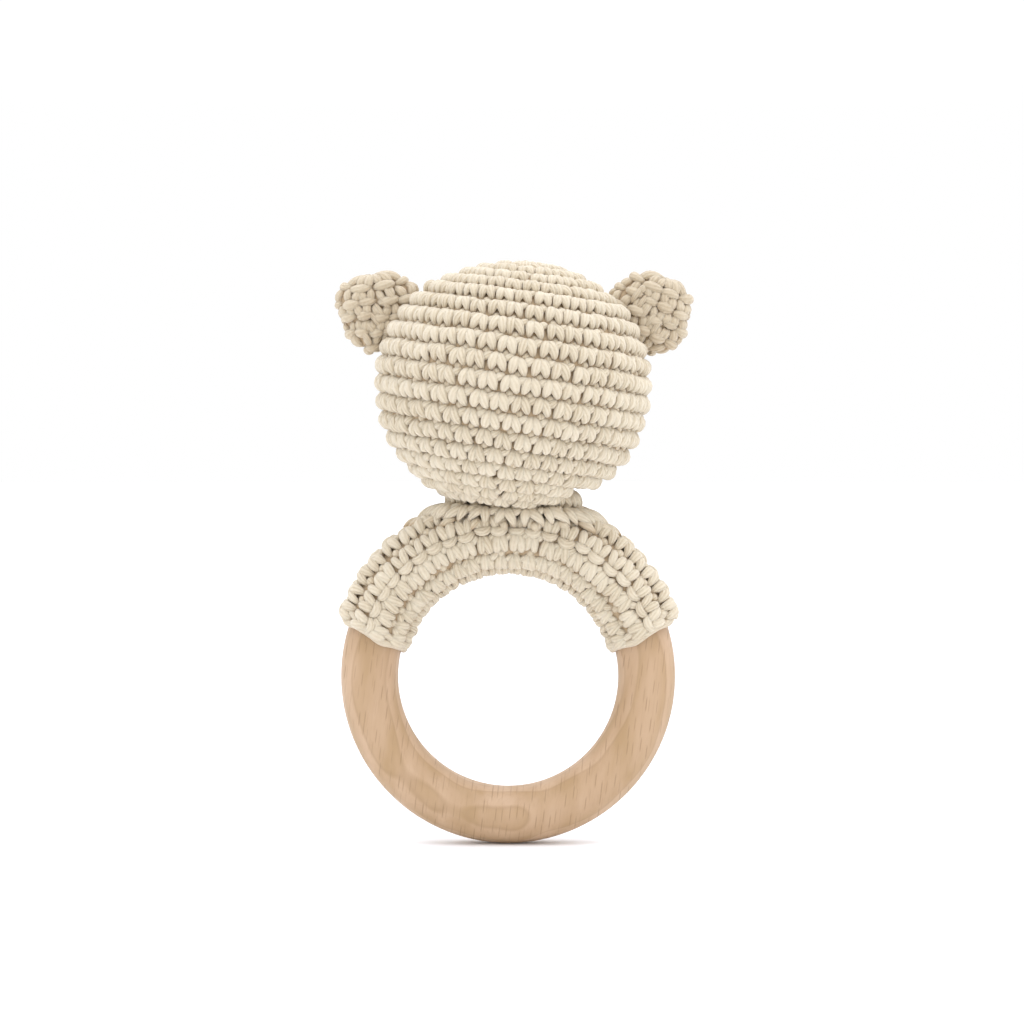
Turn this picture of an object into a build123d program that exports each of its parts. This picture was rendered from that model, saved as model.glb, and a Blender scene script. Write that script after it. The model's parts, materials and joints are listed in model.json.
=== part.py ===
from build123d import *
import os
from math import cos, hypot, radians, sin, sqrt

# Crocheted bear-head rattle on a wooden grip ring.
# Millimetres. The origin is the centre of the ring, +Z runs up through the head,
# the ring lies in the XZ plane, and the bear's face looks towards +Y.

# Wooden ring
RING_RADIUS = 29.0          # from the ring's centre to the middle of its round section
RING_SECTION = 6.0          # radius of the section: a 12 mm thick ring, 70 mm across

# Crocheted sleeve round the top of the ring
SLEEVE_RADIUS = 29.6        # its section sits a little outside the ring's
SLEEVE_SECTION = 8.6
SLEEVE_BORE = 6.2           # 0.2 mm clear of the wood, which turns inside
SLEEVE_ARC = 149.0          # degrees of the ring that it covers, centred on the top
SEAM_ANGLE = 135.0          # where the long seam lies round the section, from outwards to the face
SEAM_YARN = 0.7             # radius of the sewing yarn
SEAM_DEPTH = 0.4            # how far the yarn's middle lies under the surface
YARN_CLEARANCE = 0.15

# Head: a round of crochet, superelliptic in profile
HEAD_SHIFT = 1.0            # the head sits this far off the ring's centre line, along X
HEAD_HEIGHT = 61.2          # of its centre above the ring's centre
HEAD_WIDE = 28.9            # half of its width, and of its depth
HEAD_TALL = 25.9            # half of its height
HEAD_POWER = 2.15           # 2 is an ellipse, and more is squarer
COVER_THICK = 2.2
LAYER_GAP = 0.2             # between cover, filling and rattle box

# Neck, between head and sleeve
NECK_GAP = 0.8              # what the head keeps clear of the sleeve
COLLAR_GAP = 0.5            # what the collar keeps clear of the sleeve
COLLAR_OUTER = (14.6, 9.7)  # half axes of the neck along X and Y
COLLAR_INNER = (12.4, 7.5)
COLLAR_LOW = 31.0
COLLAR_HIGH = 41.0

# Rattle box and pellets
BOX_RADIUS = 14.0
BOX_WALL = 1.2
LIP_RADIUS = 13.35          # outside of the lower shell's lip
LIP_INNER = 12.7
LIP_HEIGHT = 1.6
LIP_CLEARANCE = 0.1
PELLET_RADIUS = 2.0
PELLET_CLEARANCE = 0.3
PELLET_PITCH = 4.4          # between the planes that the pellets roll in
PELLET_COUNT = 5

# Ears
EAR_RADIUS = 8.6
EAR_THICK = 5.0
EAR_FOOT = 12.8             # height above the head's centre where the ear meets the head
EAR_REACH = 3.6             # from the head's surface out to the ear's centre
EAR_FORWARD = 3.5           # ears sit this far towards the face
EAR_GAP = 0.3               # between the ear's foot and the head
EAR_ROUND = 2.2
EAR_CORNER = 3.0
EAR_YARN = 0.6              # radius of the sewing yarn along the foot
EAR_YARN_OUT = 0.9          # height of that yarn's middle over the head's surface
EAR_YARN_SIDE = 3.6         # and how far it lies from the ear's middle plane
EAR_YARN_LENGTH = 11.0

# Embroidered face
STITCH_THICK = 0.9
STITCH_LIFT = 0.1
EYE_RADIUS = 2.0
EYE_APART = 9.5
EYE_HEIGHT = 3.5            # above the head's centre
NOSE_WIDE = 3.4
NOSE_TALL = 2.5
NOSE_DROP = 3.0             # under the head's centre
MOUTH_WIDTH = 0.9
MOUTH_LENGTH = 3.2
MOUTH_SPREAD = 55.0         # degrees of each lower stitch from the vertical

HEAD_CENTRE = Vector(HEAD_SHIFT, 0, HEAD_HEIGHT)
PARTS = {}


def ring_tube(radius, section, start=0.0, arc=360.0, forward=0.0):
    """A tube bent round the ring's axis; start is counted from +X towards +Z."""
    disc = Plane.XY * Pos(radius, forward) * Circle(section)
    return revolve(disc.rotate(Axis.Y, -start), Axis.Y, -arc)


def profile_width(height, wide, tall):
    """Half width of the head's profile at a height from its centre."""
    return wide * max(0.0, 1 - abs(height / tall) ** HEAD_POWER) ** (1 / HEAD_POWER)


def head_solid(grow=0.0):
    """The head's outer shape, grown or shrunk, standing at its place."""
    wide = HEAD_WIDE + grow
    tall = HEAD_TALL + grow
    steps = 12
    points = []
    for step in range(steps + 1):
        turn = radians(-90 + 180 * step / steps)
        height = tall * abs(sin(turn)) ** (2 / HEAD_POWER) * (1 if turn > 0 else -1)
        points.append((profile_width(height, wide, tall), height))
    outline = Plane.XZ * Spline(points, tangents=[(1, 0), (-1, 0)])
    axis_line = Plane.XZ * Line(points[-1], points[0])
    half = make_face([outline, axis_line])
    return Pos(HEAD_CENTRE) * revolve(half, Axis.Z)


def wooden_ring():
    return ring_tube(RING_RADIUS, RING_SECTION)


def seam_path(section):
    """A yarn along the sleeve, half sunk in it, on the face side towards the opening."""
    out = SLEEVE_SECTION - SEAM_DEPTH
    radius = SLEEVE_RADIUS + out * cos(radians(SEAM_ANGLE))
    forward = out * sin(radians(SEAM_ANGLE))
    start = 90 - SLEEVE_ARC / 2
    return ring_tube(radius, section, start, SLEEVE_ARC, forward)


def ring_sleeve():
    start = 90 - SLEEVE_ARC / 2
    outer = ring_tube(SLEEVE_RADIUS, SLEEVE_SECTION, start, SLEEVE_ARC)
    bore = ring_tube(RING_RADIUS, SLEEVE_BORE)
    return outer - bore - seam_path(SEAM_YARN + YARN_CLEARANCE)


def neck_space(gap):
    """The room that the sleeve takes up under the head, with a gap all round."""
    return ring_tube(SLEEVE_RADIUS, SLEEVE_SECTION + gap, 30, 120)


def head_cover():
    return head_solid() - head_solid(-COVER_THICK) - neck_space(NECK_GAP)


def head_stuffing():
    filling = head_solid(-COVER_THICK - LAYER_GAP)
    pocket = Pos(HEAD_CENTRE) * Sphere(BOX_RADIUS + LAYER_GAP)
    return filling - pocket - neck_space(NECK_GAP + COVER_THICK)


def neck_collar():
    """The last rounds of the head, drawn in and lying saddle-wise over the sleeve."""
    height = COLLAR_HIGH - COLLAR_LOW
    middle = Pos(HEAD_SHIFT / 2, 0, COLLAR_LOW)
    outer = middle * extrude(Ellipse(*COLLAR_OUTER), height)
    inner = middle * extrude(Ellipse(*COLLAR_INNER), height)
    return outer - inner - neck_space(COLLAR_GAP) - head_solid(LAYER_GAP)


def half_space(side):
    """A block that covers everything above (side 1) or below (side -1) the head's centre."""
    size = 4 * BOX_RADIUS
    return Pos(HEAD_CENTRE + Vector(0, 0, side * size / 2)) * Box(size, size, size)


def rattle_ball():
    return Pos(HEAD_CENTRE) * (Sphere(BOX_RADIUS) - Sphere(BOX_RADIUS - BOX_WALL))


def lip_disc(radius, low, high):
    disc = Cylinder(radius, high - low, align=(Align.CENTER, Align.CENTER, Align.MIN))
    return Pos(HEAD_CENTRE + Vector(0, 0, low)) * disc


def rattle_shell_lower():
    """The lower half of the rattle box, with the lip that snaps into the upper half."""
    lip_foot = -0.6
    lip = lip_disc(LIP_RADIUS, lip_foot, LIP_HEIGHT) - lip_disc(LIP_INNER, lip_foot, LIP_HEIGHT)
    return (rattle_ball() & half_space(-1)) + lip


def rattle_shell_upper():
    """The upper half, stepped to take the lip, with a hairline gap at the joint."""
    joint_gap = 0.05
    recess = lip_disc(LIP_RADIUS + LIP_CLEARANCE, -1, LIP_HEIGHT + LIP_CLEARANCE)
    joint = lip_disc(BOX_RADIUS + 1, -1, joint_gap)
    return (rattle_ball() & half_space(1)) - recess - joint


def pellet(index):
    """One pellet, at rest in the lowest place of its own plane in the box."""
    side = PELLET_PITCH * (index - (PELLET_COUNT - 1) / 2)
    reach = BOX_RADIUS - BOX_WALL - PELLET_RADIUS - PELLET_CLEARANCE
    drop = sqrt(reach**2 - side**2)
    return Pos(HEAD_CENTRE + Vector(side, 0, -drop)) * Sphere(PELLET_RADIUS)


def ear_frame(side):
    """The plane of an ear: local x along the foot, local y away from the head, from its surface."""
    width = profile_width(EAR_FOOT, HEAD_WIDE, HEAD_TALL)
    slope_out = width ** (HEAD_POWER - 1) / HEAD_WIDE**HEAD_POWER
    slope_up = EAR_FOOT ** (HEAD_POWER - 1) / HEAD_TALL**HEAD_POWER
    length = hypot(slope_out, slope_up)
    away = Vector(side * slope_out / length, 0, slope_up / length)
    foot = HEAD_CENTRE + Vector(side * width, EAR_FORWARD, EAR_FOOT)
    forward = Vector(0, 1, 0)
    return Plane(origin=foot, x_dir=away.cross(forward), z_dir=forward), away


def ear(side):
    frame, _ = ear_frame(side)
    up = 1 if frame.y_dir.Z > 0 else -1
    room = 4 * EAR_RADIUS
    disc = Pos(0, up * EAR_REACH) * Circle(EAR_RADIUS)
    below = Pos(0, up * (EAR_GAP - room / 2)) * Rectangle(room, room)
    outline = disc - below
    slab = extrude(outline, EAR_THICK / 2, both=True)
    slab = fillet(slab.edges().filter_by(Axis.Z), EAR_CORNER)
    faces = slab.faces().filter_by(Axis.Z)
    slab = fillet(faces.edges(), EAR_ROUND)
    return frame * slab


def ear_yarn(side):
    """Two runs of sewing yarn along the ear's foot, one on each side of the ear."""
    frame, _ = ear_frame(side)
    up = 1 if frame.y_dir.Z > 0 else -1
    run = Rot(0, 90, 0) * Cylinder(EAR_YARN, EAR_YARN_LENGTH)
    run = fillet(run.edges(), EAR_YARN * 0.8)
    runs = []
    for face in (-1, 1):
        runs.append(frame * Pos(0, up * EAR_YARN_OUT, face * EAR_YARN_SIDE) * run)
    return Compound(children=runs)


def on_face(outline):
    """A stitched patch of that outline, drawn in X and Z, lying on the face."""
    reach = 2 * HEAD_WIDE
    flat = Plane(origin=HEAD_CENTRE, x_dir=(1, 0, 0), z_dir=(0, -1, 0)) * outline
    prism = extrude(flat, -reach)
    return prism & (head_solid(STITCH_THICK) - head_solid(STITCH_LIFT))


def eye(side):
    return on_face(Pos(side * EYE_APART, EYE_HEIGHT) * Circle(EYE_RADIUS))


def nose():
    return on_face(Pos(0, -NOSE_DROP) * Ellipse(NOSE_WIDE, NOSE_TALL))


def mouth():
    """One upright stitch under the nose and two spreading from its foot."""
    gap = 0.2
    top = -NOSE_DROP - NOSE_TALL - gap
    foot = top - MOUTH_LENGTH
    stitch = SlotCenterPoint((0, -MOUTH_LENGTH / 2), (0, -gap), MOUTH_WIDTH)
    upright = Pos(0, top) * Pos(0, -MOUTH_LENGTH / 2) * Rectangle(MOUTH_WIDTH, MOUTH_LENGTH)
    lines = upright
    for side in (-1, 1):
        lines = lines + Pos(0, foot) * Rot(0, 0, side * MOUTH_SPREAD) * stitch
    return on_face(lines)


PARTS["wooden_ring"] = wooden_ring()
PARTS["ring_sleeve"] = ring_sleeve()
PARTS["sleeve_seam_yarn"] = seam_path(SEAM_YARN)
PARTS["head_cover"] = head_cover()
PARTS["head_stuffing"] = head_stuffing()
PARTS["neck_collar"] = neck_collar()
PARTS["rattle_shell_upper"] = rattle_shell_upper()
PARTS["rattle_shell_lower"] = rattle_shell_lower()
for number in range(PELLET_COUNT):
    PARTS[f"pellet_{number + 1}"] = pellet(number)
for name, side in (("left", -1), ("right", 1)):
    PARTS[f"ear_{name}"] = ear(side)
    PARTS[f"ear_{name}_yarn"] = ear_yarn(side)
    PARTS[f"eye_{name}"] = eye(side)
PARTS["nose"] = nose()
PARTS["mouth"] = mouth()

for name, shape in PARTS.items():
    export_step(shape, f"parts/{name}.step")

for name, side in (("left", -1), ("right", 1)):
    frame, away = ear_frame(side)
    hinge = frame.origin + away * (EAR_GAP + EAR_THICK / 2)
    print(f"ear_{name} hinge through", hinge, "away", away)
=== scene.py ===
import json
import bpy
import numpy as np
from math import cos, pi, radians, sin
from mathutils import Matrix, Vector


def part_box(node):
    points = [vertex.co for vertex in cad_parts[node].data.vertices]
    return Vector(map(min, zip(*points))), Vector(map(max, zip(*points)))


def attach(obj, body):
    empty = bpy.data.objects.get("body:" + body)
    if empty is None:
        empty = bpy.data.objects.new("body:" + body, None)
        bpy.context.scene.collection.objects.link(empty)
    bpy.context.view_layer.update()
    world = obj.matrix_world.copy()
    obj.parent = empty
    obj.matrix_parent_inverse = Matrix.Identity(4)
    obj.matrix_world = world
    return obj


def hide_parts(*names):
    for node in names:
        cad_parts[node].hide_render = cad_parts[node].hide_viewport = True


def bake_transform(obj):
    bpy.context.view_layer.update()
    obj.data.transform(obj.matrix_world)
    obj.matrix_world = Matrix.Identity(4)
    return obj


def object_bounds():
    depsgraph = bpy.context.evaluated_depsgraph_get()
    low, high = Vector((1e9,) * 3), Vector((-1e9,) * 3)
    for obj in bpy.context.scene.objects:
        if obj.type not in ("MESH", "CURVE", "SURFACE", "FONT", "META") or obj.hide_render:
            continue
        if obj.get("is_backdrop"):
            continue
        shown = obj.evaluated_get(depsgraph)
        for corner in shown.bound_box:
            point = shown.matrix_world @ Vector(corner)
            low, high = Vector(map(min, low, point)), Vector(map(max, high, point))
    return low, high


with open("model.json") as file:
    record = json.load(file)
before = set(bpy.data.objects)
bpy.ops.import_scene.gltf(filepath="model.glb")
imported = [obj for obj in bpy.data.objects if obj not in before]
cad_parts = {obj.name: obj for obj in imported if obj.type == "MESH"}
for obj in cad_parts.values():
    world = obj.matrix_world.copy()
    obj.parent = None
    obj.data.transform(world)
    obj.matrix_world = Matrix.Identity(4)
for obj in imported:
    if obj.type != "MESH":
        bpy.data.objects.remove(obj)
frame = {"record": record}
cad_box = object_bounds()

# Lengths in this script are millimetres, and MM turns them into Blender's metres.
# The frame is the CAD frame: the ring's centre at the origin, +Z up, the face towards +Y.

MM = 0.001


def node_box(name):
    low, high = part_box(name)
    return np.array(low) / MM, np.array(high) / MM


def joint_place(name):
    joint = next(j for j in frame["record"]["behaviour"]["joints"] if j["name"] == name)
    return np.array(joint["pos_m"]) / MM, np.array(joint["axis"], float)


# ---------------------------------------------------------------- sizes, from the frame

RING_LOW, RING_HIGH = node_box("wooden_ring")
RING_SECTION = (RING_HIGH[1] - RING_LOW[1]) / 2
RING_RADIUS = RING_HIGH[0] - RING_SECTION
HEAD_LOW, HEAD_HIGH = node_box("head_cover")
HEAD_WIDE = (HEAD_HIGH[0] - HEAD_LOW[0]) / 2
HEAD_TALL = HEAD_WIDE * 25.9 / 28.9      # half its height: the head is a little flatter than a ball
HEAD_POWER = 2.15        # 2 makes an ellipsoid, and more a squarer head
HEAD_SAG = 1.3           # the fabric hangs this much lower at the head's bottom
HEAD_CENTRE = np.array([(HEAD_LOW[0] + HEAD_HIGH[0]) / 2, 0, HEAD_HIGH[2] - HEAD_TALL])
SLEEVE_LOW, SLEEVE_HIGH = node_box("ring_sleeve")
SLEEVE_SECTION = (SLEEVE_HIGH[1] - SLEEVE_LOW[1]) / 2
SLEEVE_RADIUS = SLEEVE_HIGH[2] - SLEEVE_SECTION
EAR_RADIUS = 8.6
EAR_THICK = 2.6          # half of an ear's thickness

NECK_TOP = np.array([12.6, 7.6])         # half axes under the head
NECK_FOOT = np.array([20.8, 8.3])        # half axes on the sleeve
NECK_SHIFT = 1.3         # the foot stands this much to the right
NECK_HIGH = 39.0         # height of the neck's top
NECK_STITCHES = 21
HEAD_FOOT = 38.8         # height of the head's lowest strands beside the neck

RELIEF = 2.65            # depth of the head's crochet, from the foot of its stitches to the plain head's size

rng = np.random.default_rng(11)


# ---------------------------------------------------------------- strands of yarn

def unit(v):
    return v / np.maximum(np.linalg.norm(v, axis=-1, keepdims=True), 1e-9)


def lengths(points):
    """How long each line is up to each of its points."""
    steps = np.linalg.norm(np.diff(points, axis=-2), axis=-1)
    return np.concatenate([np.zeros_like(steps[..., :1]), np.cumsum(steps, axis=-1)], axis=-1)


def smooth(strand):
    """A Catmull-Rom curve through a strand's knots."""
    points, last = 11, len(strand) - 1
    weights = np.zeros((points, last + 1))
    for row, t in enumerate(np.linspace(0, last, points)):
        i = min(int(t), last - 1)
        f = t - i
        share = (
            -0.5 * f + f**2 - 0.5 * f**3,
            1 - 2.5 * f**2 + 1.5 * f**3,
            0.5 * f + 2 * f**2 - 1.5 * f**3,
            -0.5 * f**2 + 0.5 * f**3,
        )
        for k, part in zip(range(i - 1, i + 3), share):
            weights[row, min(max(k, 0), last)] += part
    return weights @ np.array(strand)


def new_object(name, mesh, material):
    thing = bpy.data.objects.new(name, mesh)
    bpy.context.scene.collection.objects.link(thing)
    mesh.materials.append(material)
    return thing


class Yarn:
    """Collects strands and turns them into one piece of round, twisted yarn."""

    TWIST = 0.16         # radians a millimetre
    STAGGER = 40         # how far apart tone turns the strands' first plies

    def __init__(self, around=14):
        self.around = around
        self.points, self.faces, self.caps = [], [], []
        self.twist, self.tone, self.depth = [], [], []
        self.count = 0

    def add(self, path, radius, normal, tone, out, flat=0.88, gauge=1.0):
        """path and normal are (strand, point, 3), radius is (strand, point), tone one number a strand.

        out is the path's height over the foot of the stitches in yarn of full gauge: with the radius, it
        says how deep between the strands a point lies. flat is the yarn's thickness over its width."""
        strands, along, _ = path.shape
        tangent = unit(np.gradient(path, axis=1))
        side = unit(np.cross(normal, tangent))
        up = np.cross(tangent, side)
        length = lengths(path)
        turn = 2 * pi * np.arange(self.around) / self.around
        spoke = side[:, :, None] * np.cos(turn)[:, None] + flat * up[:, :, None] * np.sin(turn)[:, None]
        points = path[:, :, None] + spoke * radius[:, :, None, None]
        phase = turn + self.TWIST * length[:, :, None] + self.STAGGER * tone[:, None, None]
        run = np.broadcast_to(length[:, :, None], phase.shape)
        self.points.append(points.reshape(-1, 3))
        self.twist.append(np.stack([np.cos(phase), np.sin(phase), run], axis=-1).reshape(-1, 3))
        self.tone.append(np.repeat(tone, along * self.around))
        # How deep a point lies sets the painted shade in the yarn material.
        height = (out + 0 * radius)[:, :, None] + flat / gauge * radius[:, :, None] * np.sin(turn)
        self.depth.append(height.reshape(-1))
        ring = np.arange(self.around)
        nxt = (ring + 1) % self.around
        quad = np.stack([ring, nxt, nxt + self.around, ring + self.around], axis=-1)
        quads = quad + self.around * np.arange(along - 1)[:, None, None]
        size = along * self.around
        starts = self.count + np.arange(strands) * size
        self.faces.append((quads + starts[:, None, None, None]).reshape(-1, 4))
        caps = np.stack([ring[::-1], ring + size - self.around])
        self.caps.append((caps + starts[:, None, None]).reshape(-1, self.around))
        self.count += strands * size

    def piece(self, name, material, pressed=lambda points: points):
        """All the strands as one piece; pressed may move its points, in millimetres."""
        quads = np.concatenate(self.faces)
        caps = np.concatenate(self.caps)
        points = pressed(np.concatenate(self.points)) * MM
        mesh = bpy.data.meshes.new(name)
        mesh.vertices.add(len(points))
        mesh.vertices.foreach_set("co", points.astype(np.float32).ravel())
        loops = np.concatenate([quads.ravel(), caps.ravel()]).astype(np.int32)
        mesh.loops.add(len(loops))
        mesh.loops.foreach_set("vertex_index", loops)
        totals = np.concatenate([np.full(len(quads), 4), np.full(len(caps), self.around)])
        starts = np.concatenate([[0], np.cumsum(totals)[:-1]]).astype(np.int32)
        mesh.polygons.add(len(totals))
        mesh.polygons.foreach_set("loop_start", starts)
        mesh.polygons.foreach_set("use_smooth", np.ones(len(totals), bool))
        mesh.update(calc_edges=True)
        twist = mesh.attributes.new("yarn", "FLOAT_VECTOR", "POINT")
        twist.data.foreach_set("vector", np.concatenate(self.twist).astype(np.float32).ravel())
        for title, values in (("tone", self.tone), ("depth", self.depth)):
            layer = mesh.attributes.new(title, "FLOAT", "POINT")
            layer.data.foreach_set("value", np.concatenate(values).astype(np.float32))
        return new_object(name, mesh, material)


def grid_piece(name, shells, material, ring=False):
    """One piece of shells, each a (rows, columns, 3) grid in millimetres, closed round its columns.

    The first and last rows are capped, or with ring they are joined to each other."""
    points, faces = [], []
    start = 0
    for shell in shells:
        rows, columns, _ = shell.shape
        for r in range(rows if ring else rows - 1):
            here, there = start + r * columns, start + (r + 1) % rows * columns
            for c in range(columns):
                e = (c + 1) % columns
                faces.append((here + c, here + e, there + e, there + c))
        if not ring:
            faces.append(tuple(start + c for c in reversed(range(columns))))
            faces.append(tuple(start + (rows - 1) * columns + c for c in range(columns)))
        points.append(shell.reshape(-1, 3))
        start += rows * columns
    mesh = bpy.data.meshes.new(name)
    mesh.from_pydata((np.concatenate(points) * MM).tolist(), [], faces)
    mesh.polygons.foreach_set("use_smooth", np.ones(len(mesh.polygons), bool))
    return new_object(name, mesh, material)


def even_grid(low, high, rows, columns):
    """Values from low to high down the rows, and turns from 0 to just under 1 round the columns."""
    values, turns = np.linspace(low, high, rows), np.linspace(0, 1, columns, endpoint=False)
    return np.meshgrid(values, turns, indexing="ij")


# ---------------------------------------------------------------- stitches

# Each strand is a list of knots: across the stitch and up the row (as shares of the stitch),
# then out of the fabric and half the yarn's width (mm).

def mirrored(strand):
    return tuple((1 - across, *rest) for across, *rest in strand)


# The right side of a stitch is an arch of two plump legs that part towards the foot. The loop of the
# stitch's head slants away at the upper right, and the strand behind shows between the legs.
ARCH_LEFT = (
    (0.48, 1.00, -0.6, 0.42), (0.43, 0.93, 0.30, 0.80), (0.37, 0.82, 1.15, 1.04), (0.31, 0.66, 1.70, 1.10),
    (0.26, 0.50, 1.78, 1.02), (0.225, 0.35, 1.55, 0.84), (0.205, 0.23, 1.05, 0.58), (0.20, 0.14, 0.2, 0.32),
)
ARCH_RIGHT = (
    (0.46, 1.00, -0.6, 0.42), (0.51, 0.93, 0.35, 0.80), (0.57, 0.82, 1.20, 1.04), (0.65, 0.65, 1.75, 1.12),
    (0.715, 0.48, 1.80, 1.02), (0.765, 0.33, 1.55, 0.82), (0.80, 0.20, 1.00, 0.56), (0.82, 0.11, 0.1, 0.30),
)
LOOP = (
    (0.62, 0.58, 0.4, 0.40), (0.78, 0.70, 1.15, 0.72), (0.96, 0.82, 1.38, 0.86),
    (1.12, 0.92, 1.05, 0.74), (1.24, 0.99, 0.1, 0.40),
)
STRAND_BEHIND = (
    (0.50, 0.40, -0.3, 0.4), (0.50, 0.24, 0.35, 0.72), (0.50, 0.07, 0.70, 0.88),
    (0.49, -0.08, 0.40, 0.74), (0.48, -0.22, -0.4, 0.4),
)
RIGHT_SIDE = (ARCH_LEFT, ARCH_RIGHT, LOOP, STRAND_BEHIND)

# The wrong side is a crescent bar across the foot of two legs that lean apart at the top.
FORK_LEG = (
    (0.16, 1.08, -0.1, 0.45), (0.17, 0.96, 0.8, 0.74), (0.23, 0.72, 1.45, 0.94),
    (0.31, 0.46, 1.50, 0.94), (0.38, 0.26, 0.9, 0.70), (0.42, 0.14, 0.1, 0.35),
)
CRESCENT = (
    (0.02, 0.30, 0.2, 0.42), (0.14, 0.17, 1.15, 0.70), (0.36, 0.07, 1.75, 0.88),
    (0.62, 0.07, 1.75, 0.88), (0.85, 0.19, 1.2, 0.70), (0.97, 0.33, 0.2, 0.42),
)
WRONG_SIDE = (FORK_LEG, mirrored(FORK_LEG), CRESCENT)

# The ears show the wrong side too, in plumper yarn: leaf-shaped bars over short legs.
EAR_LEG = (
    (0.20, 1.02, 0.0, 0.45), (0.19, 0.90, 0.8, 0.84), (0.23, 0.70, 1.35, 1.08),
    (0.28, 0.50, 1.40, 1.10), (0.32, 0.32, 0.9, 0.84), (0.34, 0.20, 0.1, 0.4),
)
LEAF = (
    (-0.04, 0.12, 0.2, 0.35), (0.12, 0.13, 1.25, 0.86), (0.34, 0.13, 1.85, 1.14),
    (0.60, 0.15, 1.85, 1.12), (0.84, 0.21, 1.3, 0.82), (1.0, 0.28, 0.2, 0.35),
)
EAR_SIDE = (EAR_LEG, mirrored(EAR_LEG), LEAF)


def lay(yarn, kind, place, stitches, gauge=1.0, relief=1.0, loose=1.0, keep=None):
    """Lays stitches side by side. place(across, up, out) gives their points and normals on the fabric.

    gauge scales the yarn's width, relief its height, and loose how uneven it is. keep(path) says which
    strands to keep."""
    shift = rng.normal(0, 0.022 * loose, (stitches, 1))
    lift = rng.normal(0, 0.028 * loose, (stitches, 1))
    plump = 1 + rng.normal(0, 0.05 * loose, (stitches, 1))
    lean = rng.normal(0, 0.030 * loose, (stitches, 1))
    tone = rng.random(stitches)
    for strand in kind:
        curve = smooth(strand)
        across = curve[:, 0] + shift + lean * curve[:, 1] + rng.normal(0, 0.012 * loose, (stitches, 1))
        up = curve[:, 1] + lift + rng.normal(0, 0.02 * loose, (stitches, 1))
        out = curve[:, 2] * plump
        width = np.maximum(curve[:, 3], 0.05) * gauge
        radius = width * (1 + rng.normal(0, 0.045 * loose, (stitches, 1)))
        path, normal = place(across, up, out * relief)
        mix = np.clip(tone + rng.normal(0, 0.15, stitches), 0, 1)
        kept = keep(path) if keep else np.ones(stitches, bool)
        if kept.any():
            yarn.add(path[kept], radius[kept], normal[kept], mix[kept], out[kept], gauge=gauge)


DRIFT = 0.33             # each row starts this share of a stitch further to the left
LEAN = 0.75              # how far a stitch leans towards its parent stitch
LEAN_AT_CHANGE = 0.4     # share of that lean where the number of stitches changes


def lay_round(yarn, kind, surface, foot, height, row, above, **look):
    """A round of stitches. surface(run, turn, out) counts run downwards and turn round from 0 to 1.

    row and above are (number of stitches, offset of the first) of this round and of the one before it."""
    count, lead = row
    middle = (np.arange(count) + 0.5 - count / 2 + lead) / count
    skew = np.zeros(count)
    if above is not None:
        target = middle + DRIFT / count
        parent = np.round(target * above[0] - above[1] + above[0] / 2 - 0.5)
        anchor = (parent + 0.5 - above[0] / 2 + above[1]) / above[0]
        skew = LEAN * (anchor - target) * (1.0 if count == above[0] else LEAN_AT_CHANGE)

    def place(across, up, out):
        rise = np.clip(up, 0, 1.1)
        turn = middle[:, None] + (across - 0.5) / count + skew[:, None] * rise**2 * (3 - 2 * rise)
        return surface(foot - up * height, turn, out)

    lay(yarn, kind, place, count, **look)


# ---------------------------------------------------------------- head

ROW_HEIGHT = 4.12
PITCH = 3.95             # width of a stitch, up to the round that has the most stitches
MOST_STITCHES = 40
FEWEST_STITCHES = 6
ROW_TILT = radians(7)
TOP_ROWS = 6             # the rows of the crown and
LOW_ROWS = 4             # the rows nearest the neck are pulled flatter
FLAT_GAUGE, FLAT_RELIEF = 1.08, 0.8
LAST_ROW_LEFT = 6.5      # the rows stop this far from the pole inside the neck
MIDDLE_ROW_EDGE = -2.7   # height over the head's centre of a row edge, in the middle of the back
HEAD_GAUGE_PITCH = 4.4   # width of a stitch that takes yarn of full gauge
GROUND_LIFT = 0.95       # the fabric's ground stands this far over the foot of the stitches


def head_surface(direction, out, inset, sag=0.0):
    """Points on the head's superellipsoid less inset, lifted by out, with their normals."""
    wide = HEAD_WIDE - inset
    tall = HEAD_TALL - inset + sag * (direction[..., 2] < 0)
    flat = np.hypot(direction[..., 0], direction[..., 1])
    high = np.abs(direction[..., 2])
    reach = ((flat / wide) ** HEAD_POWER + (high / tall) ** HEAD_POWER) ** (-1 / HEAD_POWER)
    point = direction * reach[..., None]
    flat = np.hypot(point[..., 0], point[..., 1])
    slope = flat ** (HEAD_POWER - 1) / wide**HEAD_POWER / np.maximum(flat, 1e-6)
    rise = np.sign(point[..., 2]) * np.abs(point[..., 2]) ** (HEAD_POWER - 1) / tall**HEAD_POWER
    normal = unit(np.stack([slope * point[..., 0], slope * point[..., 1], rise], axis=-1))
    return HEAD_CENTRE + point + normal * out[..., None], normal


def outline_table(profile):
    """Angle from the pole against the length of an outline, measured from the pole."""
    angle = np.linspace(0, pi, 721)
    return angle, lengths(profile(angle))


def head_outline(angle):
    direction = np.stack([np.sin(angle), np.zeros_like(angle), np.cos(angle)], axis=-1)
    return head_surface(direction, np.zeros_like(angle), 0, HEAD_SAG)[0]


HEAD_ANGLE, HEAD_RUN = outline_table(head_outline)


def tilted(angle, azimuth):
    """Direction at that angle from the rows' own pole; azimuth 0 looks to the back, a quarter turn to +X."""
    x = np.sin(angle) * np.sin(azimuth)
    y = -np.sin(angle) * np.cos(azimuth)
    z = np.cos(angle)
    across, up = x * cos(ROW_TILT) + z * sin(ROW_TILT), z * cos(ROW_TILT) - x * sin(ROW_TILT)
    return np.stack([across, y, up], axis=-1)


def head_spiral(run, turn, out):
    """A place on the head: the rounds are one spiral, a row's height lower after each turn."""
    run = np.clip(run + turn * ROW_HEIGHT, 0.15, HEAD_RUN[-1] - 0.15)
    direction = tilted(np.interp(run, HEAD_RUN, HEAD_ANGLE), 2 * pi * turn)
    return head_surface(direction, out, RELIEF, HEAD_SAG)


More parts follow.
